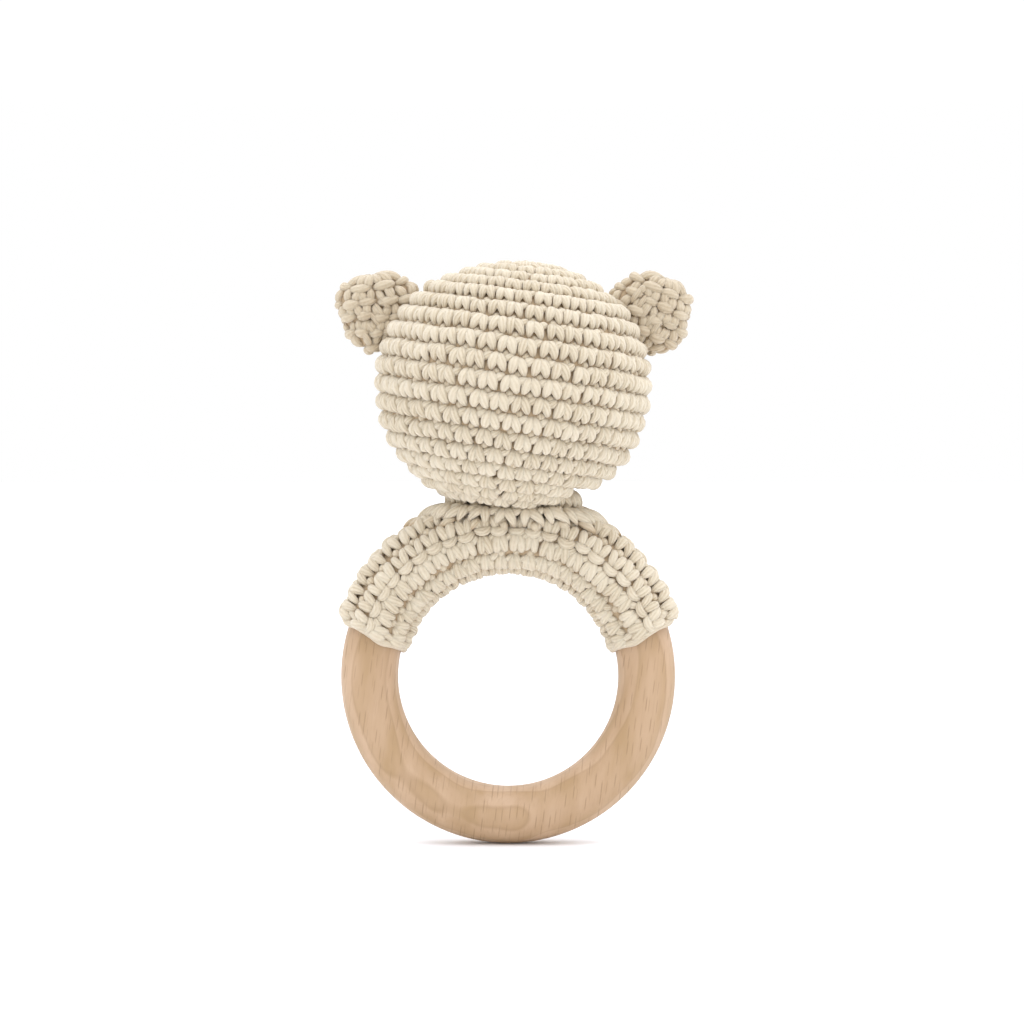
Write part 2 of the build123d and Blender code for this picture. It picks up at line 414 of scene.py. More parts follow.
def outside_neck(path):
    """Which strands of the head to keep: not those in the neck's middle, nor the low ones at its sides."""
    slope = 0.07
    middle = path[:, path.shape[1] // 2]
    x, y = middle[:, 0] - HEAD_CENTRE[0], middle[:, 1]
    beside = (middle[:, 2] > HEAD_FOOT + slope * x) | (np.abs(x) < NECK_TOP[0] - 1)
    around = (x / NECK_TOP[0]) ** 2 + (y / NECK_TOP[1]) ** 2 > 1
    return (middle[:, 2] > HEAD_CENTRE[2]) | beside & around


def head_rows():
    """(foot, stitches) of each row from crown to neck."""
    middle = np.interp(pi / 2, HEAD_ANGLE, HEAD_RUN) - MIDDLE_ROW_EDGE
    foot = middle % ROW_HEIGHT
    rows = []
    while foot < HEAD_RUN[-1] - LAST_ROW_LEFT:
        angle = np.interp(foot - ROW_HEIGHT * 0.5, HEAD_RUN, HEAD_ANGLE)
        around = 2 * pi * HEAD_WIDE * sin(angle)
        rows.append((foot, min(MOST_STITCHES, max(FEWEST_STITCHES, round(around / PITCH)))))
        foot += ROW_HEIGHT
    return rows


def knit_head(material):
    """The head's crochet, in bands of whole rows."""
    most_in_band = 130
    pieces, yarn, total = [], Yarn(), 0
    rows = head_rows()
    above = None
    for index, (foot, count) in enumerate(rows):
        angle = np.interp(foot - ROW_HEIGHT * 0.4, HEAD_RUN, HEAD_ANGLE)
        pitch = 2 * pi * HEAD_WIDE * sin(angle) / count
        row = (count, -DRIFT * index)
        gauge = min(1.03, 0.25 + 0.75 * pitch / HEAD_GAUGE_PITCH)
        relief = 1.0
        if index < TOP_ROWS or index >= len(rows) - LOW_ROWS:
            gauge, relief = gauge * FLAT_GAUGE, FLAT_RELIEF
        look = dict(gauge=gauge, relief=relief, keep=outside_neck)
        lay_round(yarn, RIGHT_SIDE, head_spiral, foot, ROW_HEIGHT, row, above, **look)
        above = row
        total += count
        if index == len(rows) - 1 or total + rows[index + 1][1] > most_in_band:
            pieces.append(yarn.piece(f"head_crochet_{len(pieces) + 1}", material))
            yarn, total = Yarn(), 0
    return pieces


def sphere_directions(rows, columns):
    angle, turn = even_grid(0.03, pi - 0.03, rows, columns)
    x, y = np.sin(angle) * np.cos(2 * pi * turn), np.sin(angle) * np.sin(2 * pi * turn)
    return np.stack([x, y, np.cos(angle)], axis=-1)


def head_ground(material):
    """The fabric's ground under the stitches: one closed shell, flat where it meets the neck."""
    direction = sphere_directions(49, 96)
    points, _ = head_surface(direction, np.zeros(direction.shape[:2]), RELIEF - GROUND_LIFT)
    points[..., 2] = np.maximum(points[..., 2], HEAD_FOOT + 0.6)
    return grid_piece("head_ground", [points], material)


def lumps(direction, count, depth):
    """Soft random lumps over a ball, between -depth and depth."""
    narrowness = 12
    centre = unit(rng.normal(0, 1, (count, 3)))
    strength = rng.normal(0, 1, count)
    near = np.exp(narrowness * (direction @ centre.T - 1))
    total = near @ strength
    return depth * total / np.abs(total).max()


def filling(material):
    """A lumpy ball of fibre with a pocket for the rattle box."""
    direction = sphere_directions(57, 112)
    low, high = node_box("rattle_shell_lower")[0], node_box("rattle_shell_upper")[1]
    gap, lump = 0.4, 0.8
    pocket_radius = (high[0] - low[0]) / 2 + gap
    outside, _ = head_surface(direction, lumps(direction, 90, lump) - 0.9, RELIEF + gap)
    pocket = HEAD_CENTRE + direction[::-1] * pocket_radius
    return grid_piece("fibre_ball", [outside, pocket], material)


# ---------------------------------------------------------------- sleeve

SLEEVE_ROWS = 10
SLEEVE_STITCHES = 22
SLEEVE_RELIEF = 2.35     # depth of the sleeve's crochet
SLEEVE_GROUND = SLEEVE_SECTION - SLEEVE_RELIEF
SLEEVE_FIRST_EDGE = radians(12)          # place round the section of the first row's edge
SLEEVE_END = radians(17.5)               # how far over the ring's middle the sleeve ends
SLEEVE_SLANT = radians(2.5)              # its ends slant this much across the ring
SLEEVE_GAUGE_PITCH = 4.3                 # width of a stitch that takes yarn of full gauge
# The sleeve is worked to and fro, so its rows show their right and wrong sides in turn.
SLEEVE_KINDS = (
    RIGHT_SIDE, WRONG_SIDE, RIGHT_SIDE, RIGHT_SIDE, WRONG_SIDE,
    RIGHT_SIDE, WRONG_SIDE, RIGHT_SIDE, WRONG_SIDE, WRONG_SIDE,
)


def sleeve_surface(share, section, out):
    """share runs 0 to 1 from the left end to the right one; section is 0 outwards and grows to the back."""
    end = SLEEVE_END + SLEEVE_SLANT * np.cos(section)
    angle = pi - end - share * (pi - 2 * end)
    reach = SLEEVE_GROUND + out
    radial = SLEEVE_RADIUS + reach * np.cos(section)
    point = np.stack([radial * np.cos(angle), -reach * np.sin(section), radial * np.sin(angle)], axis=-1)
    normal = np.stack(
        [np.cos(section) * np.cos(angle), -np.sin(section), np.cos(section) * np.sin(angle)], axis=-1
    )
    return point, normal


def on_the_ring(points):
    """Presses what would lie in the ring's wood out to its surface."""
    gap = 0.05
    stretch = 1 - RING_RADIUS / np.hypot(points[..., 0], points[..., 2])
    spoke = points * np.stack([stretch, np.ones_like(stretch), stretch], axis=-1)
    short = np.maximum((RING_SECTION + gap) / np.linalg.norm(spoke, axis=-1) - 1, 0)
    return points + spoke * short[..., None]


def sleeve_row(yarn, index):
    step = 2 * pi / SLEEVE_ROWS
    edge = SLEEVE_FIRST_EDGE + (index + 1) * step
    middle = edge - step / 2
    radius = SLEEVE_RADIUS + SLEEVE_SECTION * 0.8 * cos(middle)
    pitch = radius * (pi - 2 * SLEEVE_END) / SLEEVE_STITCHES
    first = np.arange(SLEEVE_STITCHES)[:, None]
    lowest = 0.2

    def place(across, up, out):
        share = np.clip((first + across) / SLEEVE_STITCHES, 0.004, 0.996)
        return sleeve_surface(share, edge - up * step, np.maximum(out, lowest))

    gauge = 0.50 + 0.62 * pitch / SLEEVE_GAUGE_PITCH
    relief = 0.62 + 0.38 * pitch / SLEEVE_GAUGE_PITCH
    lay(yarn, SLEEVE_KINDS[index], place, SLEEVE_STITCHES, gauge=gauge, relief=relief, loose=1.5)


def end_strand(yarn, share, wave, half_width, out):
    """A strand of the sleeve's edge, round one of its ends; wave is in hundredths of the sleeve's length."""
    section = np.linspace(0, 2 * pi, 81)[None, :]
    offset = wave * np.cos(section * SLEEVE_ROWS / 2) * 0.01
    path, normal = sleeve_surface(share + offset, section, out + 0 * section)
    radius = half_width * (1 + 0.08 * np.cos(section * SLEEVE_ROWS))
    yarn.add(path, radius, normal, np.array([0.95]), out)


def knit_sleeve(material):
    """Two halves of the sleeve's rows, and the strands round its ends."""
    pieces = []
    for half in range(2):
        yarn = Yarn()
        for index in range(half * SLEEVE_ROWS // 2, (half + 1) * SLEEVE_ROWS // 2):
            sleeve_row(yarn, index)
        pieces.append(yarn.piece(f"sleeve_crochet_{half + 1}", material, on_the_ring))
    yarn = Yarn()
    for share, sign in ((0.002, 1), (0.998, -1)):
        end_strand(yarn, share, wave=0.35 * sign, half_width=0.8, out=0.8)
        end_strand(yarn, share + 0.016 * sign, wave=-0.5 * sign, half_width=0.7, out=1.0)
    pieces.append(yarn.piece("sleeve_edges", material, on_the_ring))
    return pieces


def sleeve_ground(material):
    """The fabric's ground under the sleeve's stitches: a thin tube round the ring."""
    share, turn = even_grid(0.01, 0.99, 60, 40)
    tube, _ = sleeve_surface(share, 2 * pi * turn, np.full(share.shape, 0.8))
    bore, _ = sleeve_surface(share[::-1], 2 * pi * turn, np.full(share.shape, -0.05))
    shell = np.concatenate([tube, on_the_ring(bore)])
    return grid_piece("sleeve_ground", [shell], material, ring=True)


def seam_stitches(material):
    """Whip stitches that close the sleeve, on the face side towards the opening."""
    count, seam, stretch = 27, radians(225), 1.5
    yarn = Yarn()
    first = np.arange(count)[:, None]
    curve = smooth((
        (-0.30, -0.26, 1.0, 0.3), (-0.22, -0.20, 1.9, 0.5), (-0.05, -0.06, 2.55, 0.62),
        (0.05, 0.06, 2.55, 0.62), (0.22, 0.20, 1.9, 0.5), (0.30, 0.26, 1.0, 0.3),
    ))
    share = (first + 0.5 + curve[:, 0] + rng.normal(0, 0.04, (count, 1))) / count
    path, normal = sleeve_surface(share, seam + curve[:, 1] * stretch + 0 * share, curve[:, 2] + 0 * share)
    radius = curve[:, 3] + 0 * share
    yarn.add(path, radius, normal, rng.random(count), curve[:, 2])
    return yarn.piece("sleeve_seam_stitches", material)


# ---------------------------------------------------------------- neck

def neck_surface(run, turn, out):
    """run is 0 under the head and 1 on the sleeve, whose saddle the neck's foot follows."""
    relief, tilt = 0.9, 0.8
    angle = 2 * pi * turn
    flare = np.clip(run, 0, 1.2) ** 2
    half_x = NECK_TOP[0] + (NECK_FOOT[0] - NECK_TOP[0]) * flare
    half_y = NECK_TOP[1] + (NECK_FOOT[1] - NECK_TOP[1]) * flare
    foot_x, foot_y = NECK_SHIFT + NECK_FOOT[0] * np.sin(angle), NECK_FOOT[1] * np.cos(angle)
    shoulder = SLEEVE_RADIUS + np.sqrt(SLEEVE_SECTION**2 - foot_y**2)
    foot_z = np.sqrt(shoulder**2 - foot_x**2)
    x, y = half_x * np.sin(angle), -half_y * np.cos(angle)
    z = NECK_HIGH + (foot_z - NECK_HIGH) * run
    around = unit(np.stack([x / half_x**2, y / half_y**2, np.zeros_like(x)], axis=-1))
    normal = unit(around + np.stack([0 * x, 0 * x, tilt * np.clip(run, 0, 1)], axis=-1))
    point = np.stack([x + HEAD_CENTRE[0] * (1 - run) + NECK_SHIFT * run, y, z], axis=-1)
    return point + normal * (out[..., None] - relief), normal


def knit_neck(material):
    """Two rounds, the lower one of plumper yarn because it is wider."""
    height = 0.52
    yarn = Yarn()
    above = None
    for index, gauge in enumerate((0.84, 1.0)):
        row = (NECK_STITCHES, -DRIFT * index)
        foot = height * (index + 1)
        lay_round(yarn, RIGHT_SIDE, neck_surface, foot, height, row, above, gauge=gauge, relief=0.75)
        above = row
    return yarn.piece("neck_rounds", material)


# ---------------------------------------------------------------- ears

EAR_POWER = 2.3          # 2 makes an ellipsoid, and more a squarer ear
EAR_RELIEF = 1.7         # depth of the ears' crochet
EAR_PROUD = 1.2          # how far the crochet stands out from half an ear's thickness
EAR_RISE = 0.8           # how far an ear's centre lies outside its hinge
EAR_ROW = 3.0
EAR_STITCH = 3.3
EAR_GIRTH = 4.4          # the way round a flat ellipse, over half its width
# Direction of each ear's tip, in degrees over +X: the rounds are level across the face.
EAR_TIP = {-1: 94, 1: 66}
# Outline of each ear: degrees from the way it points, growing upwards, and its radius there.
EAR_OUTLINE = {
    -1: ((-180, 8.3), (-120, 8.4), (-95, 7.9), (-60, 6.8), (-38, 7.3), (-5, 9.0), (6, 9.3),
         (24, 8.9), (46, 9.1), (80, 9.5), (100, 9.8), (116, 10.8), (135, 10.6), (155, 9.4), (180, 8.3)),
    1: ((-180, 8.4), (-80, 8.5), (-45, 8.2), (-25, 8.3), (0, 8.6), (18, 9.2), (35, 8.8), (60, 9.0),
        (90, 8.8), (105, 9.2), (120, 10.0), (135, 10.2), (155, 9.2), (180, 8.4)),
}


def even_steps():
    """Eccentric angle against share of the way round a flat ellipse, for even steps along it."""
    angle = np.linspace(-pi, pi, 721)
    flatness = 0.42
    run = lengths(np.stack([np.sin(angle), flatness * np.cos(angle)], axis=-1))
    return run / run[-1] - 0.5, angle


EVEN_SHARE, EVEN_ANGLE = even_steps()


class Ear:
    """One ear: a stuffed ball squeezed flat, worked in rounds from its tip downwards."""

    def __init__(self, side):
        self.body = "ear_left" if side < 0 else "ear_right"
        self.hinge, axis = joint_place(self.body + "_fold")
        self.away = unit(np.array([-abs(axis[2]) if side < 0 else abs(axis[2]), 0, abs(axis[0])]))
        self.along = np.array([-self.away[2] * side, 0, abs(self.away[0])])
        self.centre = self.hinge + EAR_RISE * self.away
        tip = radians(EAR_TIP[side])
        self.tip = np.array([cos(tip), 0, sin(tip)])
        self.across = np.array([sin(tip), 0, -cos(tip)])
        self.bearing, self.reach = np.array(EAR_OUTLINE[side]).T
        self.wide, self.deep = EAR_RADIUS - EAR_RELIEF, EAR_THICK + EAR_PROUD - EAR_RELIEF
        self.angle, self.run = outline_table(self.middle_line)

    def middle_line(self, angle):
        """Half thickness and height of the ear's middle at that angle from the tip."""
        thick, high = np.sin(angle), np.cos(angle)
        reach = (thick / self.deep) ** EAR_POWER + (np.abs(high) / self.wide) ** EAR_POWER
        return np.stack([thick, high], axis=-1) * reach[..., None] ** (-1 / EAR_POWER)

    def surface(self, run, turn, out):
        """run from the tip down; turn 0 is the middle of the face at the back, and grows towards +X."""
        angle = np.interp(np.clip(run, 0.1, self.run[-1] - 0.1), self.run, self.angle)
        thick, high = np.moveaxis(self.middle_line(angle), -1, 0)
        half = self.wide * (1 - (np.abs(high) / self.wide) ** EAR_POWER) ** (1 / EAR_POWER)
        round_it = np.interp((turn + 0.5) % 1 - 0.5, EVEN_SHARE, EVEN_ANGLE)
        x, y = half * np.sin(round_it), -thick * np.cos(round_it)
        flat = x[..., None] * self.across + high[..., None] * self.tip
        bearing = np.degrees(np.arctan2(flat @ self.along, flat @ self.away))
        flat = flat * (np.interp(bearing, self.bearing, self.reach) / EAR_RADIUS)[..., None]
        normal = (x / self.wide**2)[..., None] * self.across + (high / self.wide**2)[..., None] * self.tip
        normal[..., 1] = y / self.deep**2
        normal = unit(normal)
        point = self.centre + flat
        point[..., 1] += y
        return point + normal * out[..., None], normal

    def knit(self, material):
        """The ear's crochet, in rounds from its tip."""
        look = dict(gauge=0.88, relief=0.64, loose=2.0)
        yarn = Yarn()
        above = None
        for index in range(round(self.run[-1] / EAR_ROW)):
            foot = EAR_ROW * (index + 1)
            middle = np.interp(foot - EAR_ROW * 0.4, self.run, self.angle)
            half = np.abs(self.middle_line(middle)[1]) / self.wide
            around = EAR_GIRTH * self.wide * (1 - min(half, 1.0) ** EAR_POWER) ** (1 / EAR_POWER)
            row = (max(5, round(around / EAR_STITCH)), -DRIFT * index)
            lay_round(yarn, EAR_SIDE, self.surface, foot, EAR_ROW, row, above, **look)
            above = row
        return yarn.piece(self.body + "_crochet", material)

    def ground(self, material):
        """The fabric's ground under the ear's stitches: one closed shell."""
        share, turn = even_grid(0.02, 0.98, 29, 48)
        points, _ = self.surface(self.run[-1] * share, turn, np.full(share.shape, 0.6))
        return grid_piece(self.body + "_ground", [points], material)

    def whip_stitches(self, material):
        """Yarn that sews the ear's foot to the head, over both faces."""
        count, spacing = 6, 2.0
        yarn = Yarn()
        curve = smooth((
            (-1.6, -0.9, 0.4, 0.3), (-1.1, -0.5, 1.2, 0.5), (0.0, 0.0, 1.6, 0.6),
            (1.1, 0.5, 1.2, 0.5), (1.7, 0.9, 0.3, 0.3),
        ))
        along = (np.arange(count)[:, None] - (count - 1) / 2) * spacing + curve[:, 1]
        for face in (-1, 1):
            thick = EAR_THICK + 0.1 - 0.25 * (np.abs(along) / 5) ** 2
            out = face * (thick + 0.55 * curve[:, 2])
            path = (
                self.hinge
                + (curve[:, 0] + 0 * along)[..., None] * self.away
                + along[..., None] * self.along
                + out[..., None] * np.array([0, 1, 0])
            )
            normal = np.zeros_like(path)
            normal[..., 1] = face
            yarn.add(path, curve[:, 3] + 0 * along, normal, rng.random(count), curve[:, 2])
        return yarn.piece(self.body + "_sewing", material)


# ---------------------------------------------------------------- face

def satin(yarn, middle, half_wide, half_high, rise, upright):
    """Parallel threads over an oval patch of the face side; middle is (x, z) from the head's centre."""
    thread, points = 0.3, 13     # half a thread's width, and the points along it
    span, reach = (half_wide, half_high) if upright else (half_high, half_wide)
    count = int(2 * span / (1.35 * thread))
    offset = np.linspace(-span, span, count + 2)[1:-1]
    half = reach * np.sqrt(1 - (offset / span) ** 2)
    step = np.linspace(-1, 1, points)
    length = half[:, None] * step
    cross = np.repeat(offset[:, None], points, axis=1)
    dx, dz = (cross, length) if upright else (length, cross)
    inside = np.clip(1 - (dx / half_wide) ** 2 - (dz / half_high) ** 2, 0, 1)
    on_face(yarn, middle[0] + dx, middle[1] + dz, rise * np.sqrt(inside) - 0.25 * step**8, thread)


def on_face(yarn, x, z, out, half_width):
    """Threads on the face side through (x, z), measured from the head's centre."""
    flat = 1 - (np.abs(z) / HEAD_TALL) ** HEAD_POWER
    reach = HEAD_WIDE * np.maximum(flat, 0) ** (1 / HEAD_POWER)
    y = np.sqrt(reach**2 - x**2)
    path, normal = head_surface(unit(np.stack([x, y, z], axis=-1)), out, 0)
    radius = np.full(x.shape, half_width)
    yarn.add(path, radius, normal, rng.random(len(x)), 1.5 + out, flat=0.8)


def embroider(material):
    """Eyes and nose in satin stitch, and a mouth of three long stitches that meet at a fork."""
    fork, aside = -0.62, 0.38
    pieces = {}
    centre = HEAD_CENTRE[[0, 2]]
    for name in ("eye_left", "eye_right", "nose"):
        low, high = node_box(name)
        yarn = Yarn(around=8)
        middle = (low + high)[[0, 2]] / 2 - centre
        half = (high - low)[[0, 2]] / 2
        satin(yarn, middle, half[0], half[1], 0.55, upright=name == "nose")
        pieces[name] = yarn.piece(name + "_threads", material)
    low, high = node_box("mouth")
    top = high[2] - centre[1]
    yarn = Yarn(around=10)
    step = np.linspace(0, 1, 11)
    length = high[2] - low[2]
    for dx, start, end in ((0.0, 0.0, fork), (-aside, fork, -1.0), (aside, fork, -1.0)):
        z = top + length * (start + (end - start) * step)
        x = 0.5 * (high[0] - low[0]) * dx / aside * step
        x = x + (low[0] + high[0]) / 2 - centre[0]
        on_face(yarn, x[None], z[None], (0.45 - 0.6 * (2 * step - 1) ** 4)[None], 0.42)
    pieces["mouth"] = yarn.piece("mouth_threads", material)
    return pieces


# ---------------------------------------------------------------- materials

class Nodes:
    """Short calls for the nodes of a material, or of the world."""

    def __init__(self, owner):
        owner.use_nodes = True
        self.tree = owner.node_tree
        self.nodes = self.tree.nodes

    def link(self, source, target):
        self.tree.links.new(source, target)

    def feed(self, value, socket):
        """Links an output to a socket, or sets the socket to a plain value."""
        if isinstance(value, bpy.types.NodeSocket):
            self.link(value, socket)
        else:
            socket.default_value = value

    def attribute(self, name, socket):
        node = self.nodes.new("ShaderNodeAttribute")
        node.attribute_name = name
        return node.outputs[socket]

    def maths(self, operation, first, second=None, third=None):
        node = self.nodes.new("ShaderNodeMath")
        node.operation = operation
        for socket, value in zip(node.inputs, (first, second, third)):
            if value is not None:
                self.feed(value, socket)
        return node.outputs[0]

    def vector_maths(self, operation, first, second):
        node = self.nodes.new("ShaderNodeVectorMath")
        node.operation = operation
        self.link(first, node.inputs[0])
        self.feed(second, node.inputs[1])
        return node.outputs[0]

    def scaled(self, vector, scale):
        return self.vector_maths("MULTIPLY", vector, scale)

    def parts(self, vector):
        node = self.nodes.new("ShaderNodeSeparateXYZ")
        self.link(vector, node.inputs[0])
        return node.outputs

    def place(self, turn=(0, 0, 0)):
        """The object's own coordinates in metres, turned."""
        coordinates = self.nodes.new("ShaderNodeTexCoord")
        node = self.nodes.new("ShaderNodeMapping")
        node.inputs["Rotation"].default_value = turn
        self.link(coordinates.outputs["Object"], node.inputs["Vector"])
        return node.outputs[0]

    def noise(self, vector, scale, detail=3.0, roughness=0.55):
        node = self.nodes.new("ShaderNodeTexNoise")
        node.inputs["Scale"].default_value = scale
        node.inputs["Detail"].default_value = detail
        node.inputs["Roughness"].default_value = roughness
        self.link(vector, node.inputs["Vector"])
        return node.outputs["Fac"]

    def spread(self, value, low, high, to_low=0.0, to_high=1.0):
        node = self.nodes.new("ShaderNodeMapRange")
        node.inputs["From Min"].default_value = low
        node.inputs["From Max"].default_value = high
        node.inputs["To Min"].default_value = to_low
        node.inputs["To Max"].default_value = to_high
        self.link(value, node.inputs["Value"])
        return node.outputs[0]

    def hill(self, value, start, full, fall, end):
        """0 outside start and end, and 1 between full and fall."""
        rise, drop = self.spread(value, start, full), self.spread(value, fall, end, 1.0, 0.0)
        return self.maths("MULTIPLY", rise, drop)

    def ramp(self, value, stops):
        node = self.nodes.new("ShaderNodeValToRGB")
        elements = node.color_ramp.elements
        while len(elements) < len(stops):
            elements.new(0.5)
        for element, (position, colour) in zip(elements, stops):
            element.position = position
            element.color = (*colour, 1)
        self.link(value, node.inputs["Fac"])
        return node.outputs["Color"]

    def mixed(self, share, first, second):
        node = self.nodes.new("ShaderNodeMix")
        node.data_type = "RGBA"
        self.link(share, node.inputs["Factor"])
        self.feed(first, node.inputs["A"])
        node.inputs["B"].default_value = (*second, 1)
        return node.outputs["Result"]


class Shader(Nodes):
    """A material and its main node."""

    def __init__(self, name):
        self.material = bpy.data.materials.new(name)
        super().__init__(self.material)
        self.skin = self.nodes["Principled BSDF"]

    def rays(self, x, z):
        """Short upright dashes scattered over x and z, each in a cell of its own."""
        wide, tall = 0.0014, 0.0042
        cells = self.nodes.new("ShaderNodeTexVoronoi")
        cells.voronoi_dimensions = "2D"
        cells.inputs["Scale"].default_value = 1.0
        cells.inputs["Randomness"].default_value = 0.85
        place = self.nodes.new("ShaderNodeCombineXYZ")
        self.link(self.maths("MULTIPLY", x, 1 / wide), place.inputs["X"])
        self.link(self.maths("MULTIPLY", z, 1 / tall), place.inputs["Y"])
        self.link(place.outputs[0], cells.inputs["Vector"])
        offset = self.vector_maths("SUBTRACT", place.outputs[0], cells.outputs["Position"])
        across, along, _ = self.parts(offset)
        chance, _, _ = self.parts(cells.outputs["Color"])
        thin = self.spread(self.maths("ABSOLUTE", across), 0.03, 0.10, 1.0, 0.0)
        short = self.spread(self.maths("ABSOLUTE", along), 0.20, 0.42, 1.0, 0.0)
        strength = self.spread(chance, 0.1, 0.9, 0.25, 1.0)
        return self.maths("MULTIPLY", self.maths("MULTIPLY", thin, short), strength)

    def finish(self, colour, height, bump_mm, roughness, sheen=0.0):
        self.link(colour, self.skin.inputs["Base Color"])
        bump = self.nodes.new("ShaderNodeBump")
        bump.inputs["Strength"].default_value = 1.0
        bump.inputs["Distance"].default_value = bump_mm * MM
        self.link(height, bump.inputs["Height"])
        self.link(bump.outputs[0], self.skin.inputs["Normal"])
        self.skin.inputs["Roughness"].default_value = roughness
        self.skin.inputs["Sheen Weight"].default_value = sheen
        self.skin.inputs["Sheen Roughness"].default_value = 0.5
        return self.material


def yarn_material(name, pale, mid, deep, painted_shade, plies=8, glow=0.0, sheen=0.2):
    """Cotton yarn: fine plies and fibres, a tone for each strand, painted shade in the ply grooves, and
    painted shade between strands.
    """
    shader = Shader(name)
    yarn = shader.attribute("yarn", "Vector")
    tone = shader.attribute("tone", "Fac")
    x, y, _ = shader.parts(yarn)
    ply = shader.maths("COSINE", shader.maths("MULTIPLY", shader.maths("ARCTAN2", y, x), plies))
    fibre = shader.noise(shader.scaled(yarn, (5.0, 5.0, 0.5)), 1.7, 4, 0.68)
    fluff = shader.noise(shader.place(), 2600, 2)
    height = shader.maths("MULTIPLY_ADD", ply, 0.16, shader.maths("MULTIPLY_ADD", fluff, 0.35, fibre))
    # The tone of each strand and the fibre streaks are the yarn's own colour; the darker ply grooves are
    # painted shade.
    tone_and_ply_shade = shader.maths("MULTIPLY_ADD", tone, 0.28, shader.spread(height, 0.35, 1.0, 0.0, 0.75))
    colour = shader.ramp(tone_and_ply_shade, ((0.1, deep), (0.45, mid), (0.9, pale)))
    # Painted shade: points that lie deep between the strands are mixed towards the shade colour.
    depth = shader.spread(shader.attribute("depth", "Fac"), 0.1, 1.7, 0.7, 0.0)
    colour = shader.mixed(depth, colour, painted_shade)
    if glow:
        shader.skin.inputs["Subsurface Weight"].default_value = glow
        shader.skin.inputs["Subsurface Radius"].default_value = (1.0, 0.9, 0.8)
        shader.skin.inputs["Subsurface Scale"].default_value = 0.8 * MM
    return shader.finish(colour, height, 0.16, 0.88, sheen)


def painted_shade_ground():
    # The ground's brown, darker than the cream yarn, is painted shade for the holes between the stitches; the
    # speckle is random tone.
    shader = Shader("fabric_ground")
    speckle = shader.noise(shader.place(), 900)
    colour = shader.ramp(speckle, ((0.3, (0.34, 0.24, 0.14)), (0.7, (0.48, 0.37, 0.24))))
    return shader.finish(colour, speckle, 0.1, 0.95)


def beech_material():
    """Beech: growth layers square to the ring's axis, fine upright grain, and many short dark rays."""
    year = 2.6 * MM
    shader = Shader("turned_beech")
    grain = shader.place((0, radians(-7), 0))
    x, y, z = shader.parts(grain)
    waver = shader.noise(shader.scaled(grain, (1, 1, 0.5)), 60, 1)
    layer = shader.maths("MULTIPLY_ADD", y, 1 / year, shader.maths("MULTIPLY", waver, 2.6))
    layer = shader.maths("FRACT", shader.maths("MULTIPLY_ADD", x, 9, layer))
    drift = shader.noise(shader.scaled(grain, (1, 1, 0.25)), 160, 3)
    late = shader.hill(layer, 0.0, 0.85, 0.88, 1.0)
    tone = shader.maths("MULTIPLY_ADD", drift, 1.25, shader.maths("MULTIPLY", late, 0.22))
    colour = shader.ramp(tone, (
        (0.48, (0.505, 0.342, 0.213)), (0.72, (0.452, 0.298, 0.172)), (0.95, (0.393, 0.251, 0.124))
    ))
    edge = shader.hill(layer, 0.80, 0.88, 0.88, 0.96)
    colour = shader.mixed(shader.maths("MULTIPLY", edge, 0.22), colour, (0.30, 0.19, 0.10))
    streak = shader.noise(shader.scaled(grain, (1, 1, 0.035)), 2200, 4, 0.6)
    colour = shader.mixed(shader.spread(streak, 0.50, 0.75, 0.0, 0.30), colour, (0.36, 0.23, 0.12))
    ray = shader.rays(x, z)
    colour = shader.mixed(shader.maths("MULTIPLY", ray, 0.75), colour, (0.28, 0.17, 0.08))
    height = shader.maths("SUBTRACT", shader.maths("MULTIPLY", streak, 0.5), ray)
    return shader.finish(colour, height, 0.03, 0.5)


def plastic_material(name, pale, deep, grain, roughness):
    """Moulded plastic with a fine cloudy grain."""
    shader = Shader(name)
    cloud = shader.noise(shader.place(), grain, 4)
    return shader.finish(shader.ramp(cloud, ((0.3, deep), (0.7, pale))), cloud, 0.02, roughness)


def fibre_material():
    shader = Shader("polyester_fibre")
    strands = shader.noise(shader.scaled(shader.place(), (1, 1, 0.3)), 1400, 5, 0.7)
    colour = shader.ramp(strands, ((0.3, (0.7, 0.7, 0.68)), (0.7, (0.9, 0.9, 0.88))))
    return shader.finish(colour, strands, 0.4, 0.95, 0.3)


# ---------------------------------------------------------------- build

# Each yarn's colours are its pale, middle and deep tones, the deep tone partly painted shade in the ply
# grooves, and the painted shade between its strands.
CREAM = (0.692, 0.606, 0.463), (0.629, 0.539, 0.395), (0.492, 0.398, 0.264), (0.42, 0.278, 0.137)
# The ears' yarn is the cream yarn made darker and a little warmer: painted shade, not a yarn of another
# colour.
SHADED_CREAM = (0.61, 0.518, 0.375), (0.553, 0.455, 0.318), (0.445, 0.347, 0.225), (0.38, 0.25, 0.125)
BROWN = (0.11, 0.065, 0.04), (0.075, 0.042, 0.025), (0.03, 0.016, 0.01), (0.02, 0.01, 0.006)

cream = yarn_material("cream_cotton", *CREAM, glow=0.2)
shaded_cream = yarn_material("shaded_cotton", *SHADED_CREAM, glow=0.2)
brown = yarn_material("brown_thread", *BROWN, plies=4, sheen=0.1)
painted_shade_cloth = painted_shade_ground()


def dress(piece, body, slot, *nodes):
    """Attaches the piece to the body it rides on and hides the CAD nodes it stands for; body is None if it
    blends, and slot, the finish, is not used.
    """
    if body:
        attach(piece, body)
    if nodes:
        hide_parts(*nodes)
    return piece


def build_head():
    for index, piece in enumerate(knit_head(cream)):
        dress(piece, "head", "cream_crochet", *(("head_cover",) if index == 0 else ()))
    dress(head_ground(painted_shade_cloth), "head", "cream_crochet")
    ball = dress(filling(fibre_material()), "head", "fibre_filling", "head_stuffing")
    for node, piece in embroider(brown).items():
        dress(piece, "head", "brown_thread", node)


